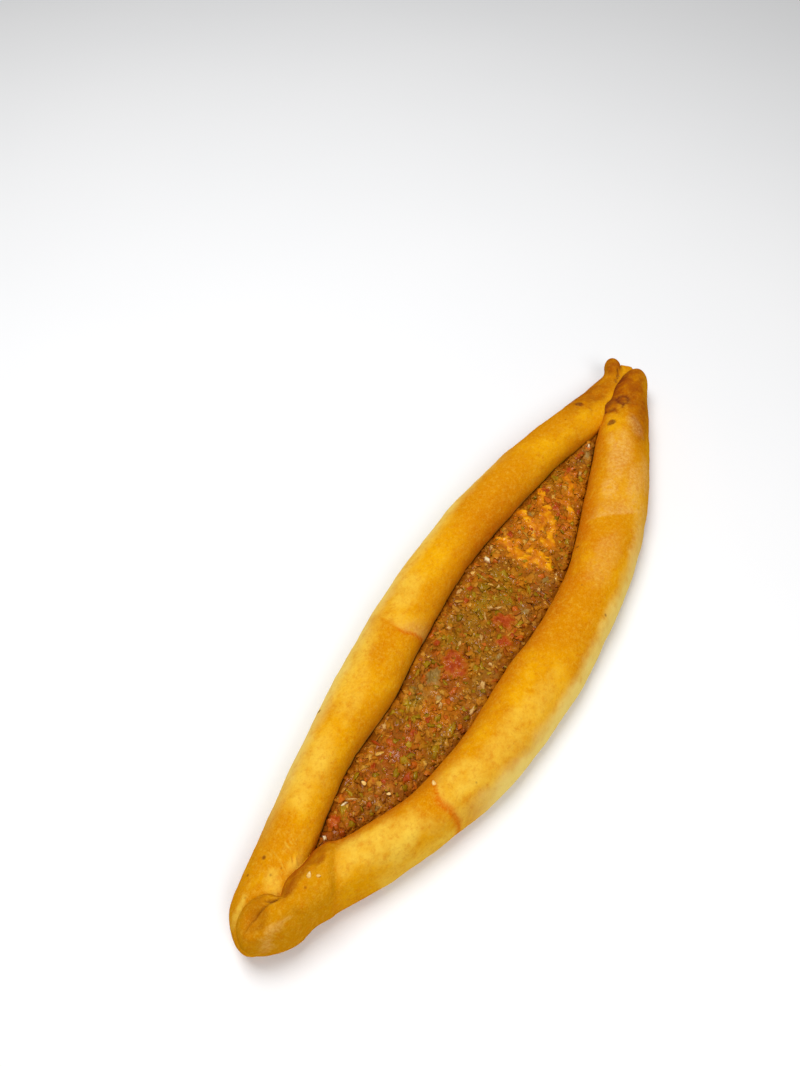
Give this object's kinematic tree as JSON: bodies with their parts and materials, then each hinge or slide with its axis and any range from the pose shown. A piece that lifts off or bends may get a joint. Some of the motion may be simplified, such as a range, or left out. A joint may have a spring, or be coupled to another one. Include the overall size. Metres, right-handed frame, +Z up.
{
  "type": "turkish pide",
  "caption": "Boat-shaped Turkish flatbread with a minced meat filling in an open trough between two rolled rims, pinched shut at both ends.",
  "frame": {"origin": "under the middle of the bread's bounding box, on the surface that it lies on", "axes": "+X along the bread towards its slender end, +Y towards the rim that passes underneath at both ends, +Z up"},
  "size_m": [0.4104, 0.1142, 0.0309],
  "materials": {
    "baked_dough": "golden baked dough, satin",
    "cooked_mince": "oily cooked minced meat",
    "melted_cheese": "melted cheese stained by oil",
    "cooked_tomato": "moist cooked tomato",
    "cooked_pepper": "moist cooked pepper"
  },
  "bodies": {
    "root": {"crust": "baked_dough", "meat_filling": "cooked_mince", "cheese_patch_1": "melted_cheese", "cheese_patch_2": "melted_cheese", "cheese_patch_3": "melted_cheese", "tomato_piece_1": "cooked_tomato", "tomato_piece_2": "cooked_tomato", "tomato_piece_3": "cooked_tomato", "tomato_piece_4": "cooked_tomato", "tomato_piece_5": "cooked_tomato", "pepper_piece_1": "cooked_pepper", "pepper_piece_2": "cooked_pepper"}
  },
  "joints": []
}
